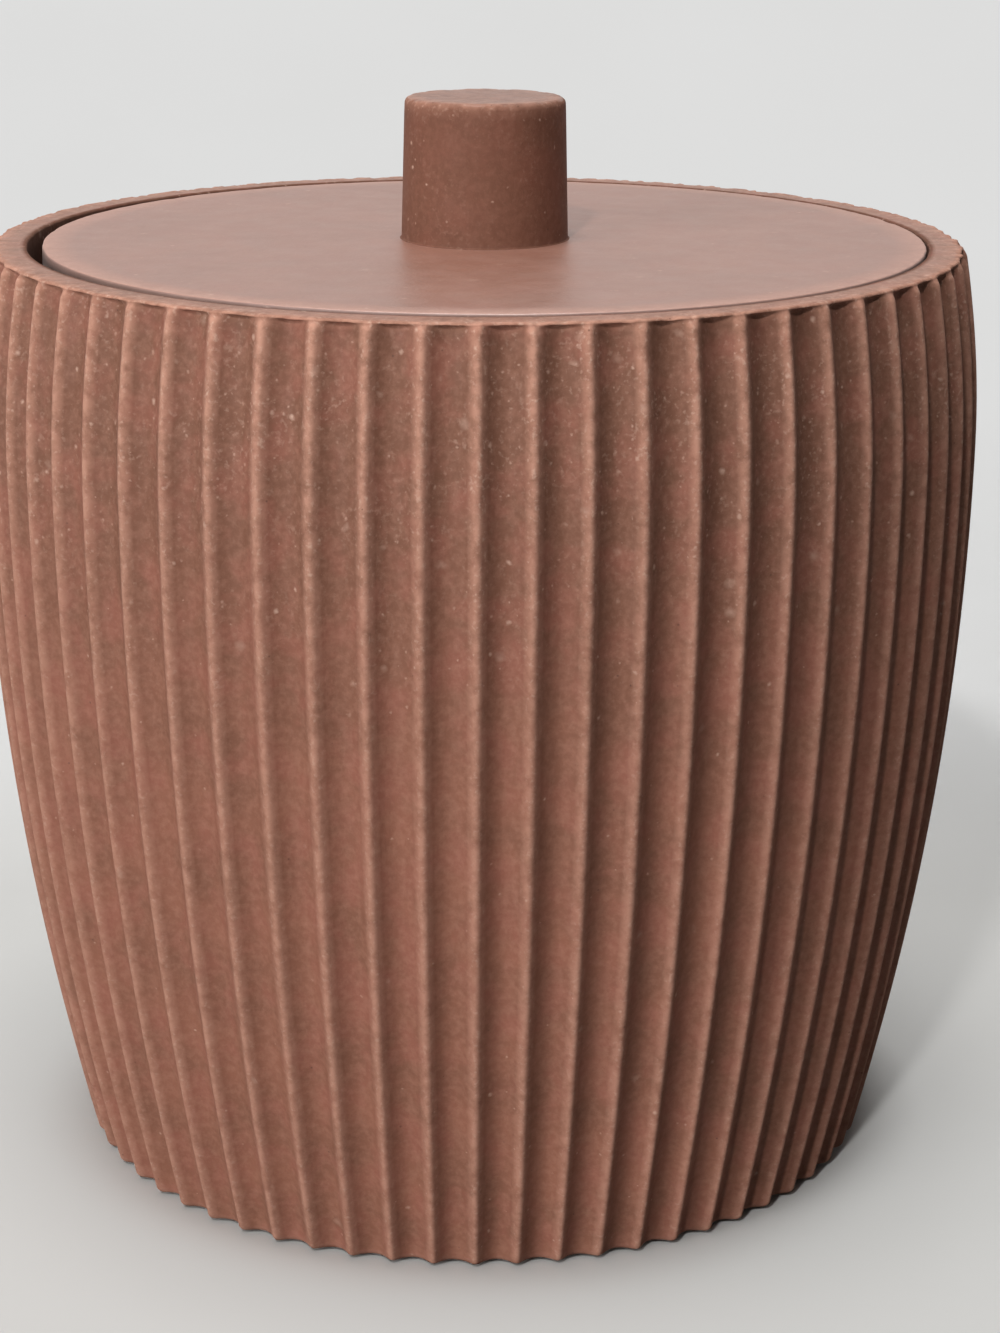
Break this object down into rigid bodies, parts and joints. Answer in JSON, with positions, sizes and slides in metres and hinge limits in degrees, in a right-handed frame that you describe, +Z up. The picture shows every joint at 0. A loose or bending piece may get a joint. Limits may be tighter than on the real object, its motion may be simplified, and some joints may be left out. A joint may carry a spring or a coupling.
{
  "type": "lidded jar",
  "caption": "Barrel-shaped fluted jar in matt terracotta with a flat drop-in lid and a short round knob, for storing small dry goods.",
  "frame": {"origin": "under the middle of the jar, on the plane that the foot pads stand on", "axes": "+Z up along the jar's axis, -Y towards the front as pictured, +X to the right of that view"},
  "size_m": [0.1038, 0.1038, 0.1105],
  "materials": {
    "jar_terracotta": "matt, finely speckled",
    "lid_terracotta": "satin, finely speckled",
    "knob_terracotta": "matt, finely speckled",
    "pad_silicone": "matt",
    "seal_silicone": "matt",
    "insert_brass": "machined",
    "fastener_steel": "plain"
  },
  "bodies": {
    "jar": {"jar_body": "jar_terracotta", "foot_pad_front_left": "pad_silicone", "foot_pad_front_right": "pad_silicone", "foot_pad_rear_left": "pad_silicone", "foot_pad_rear_right": "pad_silicone"},
    "lid": {"lid_disc": "lid_terracotta", "lid_seal_ring": "seal_silicone", "lid_knob": "knob_terracotta", "knob_threaded_insert": "insert_brass", "knob_screw": "fastener_steel", "knob_washer": "fastener_steel"}
  },
  "joints": [
    {"name": "lid_lift", "type": "slide", "parent": "jar", "child": "lid", "axis": [0, 0, 1], "range_m": [0, 0.12]}
  ]
}
